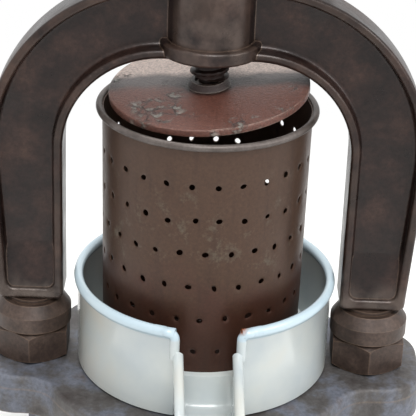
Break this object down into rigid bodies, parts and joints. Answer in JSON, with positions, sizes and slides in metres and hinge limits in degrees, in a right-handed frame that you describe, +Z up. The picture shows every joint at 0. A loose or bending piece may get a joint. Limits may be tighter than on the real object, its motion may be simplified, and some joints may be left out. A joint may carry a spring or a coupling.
{
  "type": "fruit screw press",
  "caption": "Cast-iron table fruit press: arched yoke with a screw and pressing plate over a perforated basket in an enamelled pan with a pouring spout.",
  "frame": {"origin": "on the table under the screw's axis, at the centre of the bench-screw pattern", "axes": "+Z up along the screw, -Y to the spout, +X to the right seen from the spout"},
  "size_m": [0.292, 0.2692, 0.562],
  "materials": {
    "base_iron": "worn grey-brown cast iron",
    "yoke_iron": "dark brown oxidised cast iron",
    "nut_iron": "brown oxidised iron",
    "plate_iron": "reddish brown rusted iron",
    "bronze": "dull bronze",
    "dark_steel": "dark steel",
    "bar_steel": "worn steel",
    "screw_steel": "oiled dark screw steel",
    "basket_steel": "brown patinated sheet steel",
    "enamel": "glossy white vitreous enamel"
  },
  "bodies": {
    "frame": {"base_deck": "base_iron", "base_skirt": "base_iron", "base_ribs": "base_iron", "front_left_leg": "base_iron", "back_left_leg": "base_iron", "front_right_leg": "base_iron", "back_right_leg": "base_iron", "yoke_casting": "yoke_iron", "screw_bush": "bronze", "bush_grub_screw": "dark_steel", "left_stud": "dark_steel", "left_hex_nut": "nut_iron", "left_collar": "nut_iron", "left_washer": "dark_steel", "left_lower_nut": "dark_steel", "right_stud": "dark_steel", "right_hex_nut": "nut_iron", "right_collar": "nut_iron", "right_washer": "dark_steel", "right_lower_nut": "dark_steel"},
    "pan": {"pan_bowl": "enamel", "pan_spout": "enamel", "pan_support": "base_iron", "basket_wall": "basket_steel", "basket_rim": "basket_steel", "basket_floor": "basket_steel"},
    "thrust_pad": {"thrust_pad": "dark_steel", "left_pivot_pin": "dark_steel", "right_pivot_pin": "dark_steel"},
    "plate": {"press_plate": "plate_iron"},
    "spindle": {"spindle": "screw_steel", "spindle_head": "yoke_iron", "head_pin": "dark_steel"},
    "tommy_bar": {"tommy_bar": "bar_steel", "left_knob": "bar_steel", "right_knob": "bar_steel"}
  },
  "joints": [
    {"name": "plate_travel", "type": "slide", "parent": "frame", "child": "thrust_pad", "axis": [0, 0, 1], "range_m": [-0.15, 0.003]},
    {"name": "spindle_turn", "type": "hinge", "parent": "thrust_pad", "child": "spindle", "pos_m": [0, 0, 0.3007], "axis": [0, 0, 1], "range_deg": [-9000, 180]},
    {"name": "plate_swivel", "type": "hinge", "parent": "thrust_pad", "child": "plate", "pos_m": [0, 0, 0.3007], "axis": [0.7001, -0.7141, 0], "range_deg": [-13, 1]},
    {"name": "bar_slide", "type": "slide", "parent": "spindle", "child": "tommy_bar", "axis": [1, 0, 0], "range_m": [-0.095, 0.095]},
    {"name": "pan_slide", "type": "slide", "parent": "frame", "child": "pan", "axis": [0, -1, 0], "range_m": [0, 0.155]}
  ],
  "couplings": [
    {"joint": "plate_travel", "follows": "spindle_turn", "m_per_rad": 0.00095492}
  ]
}
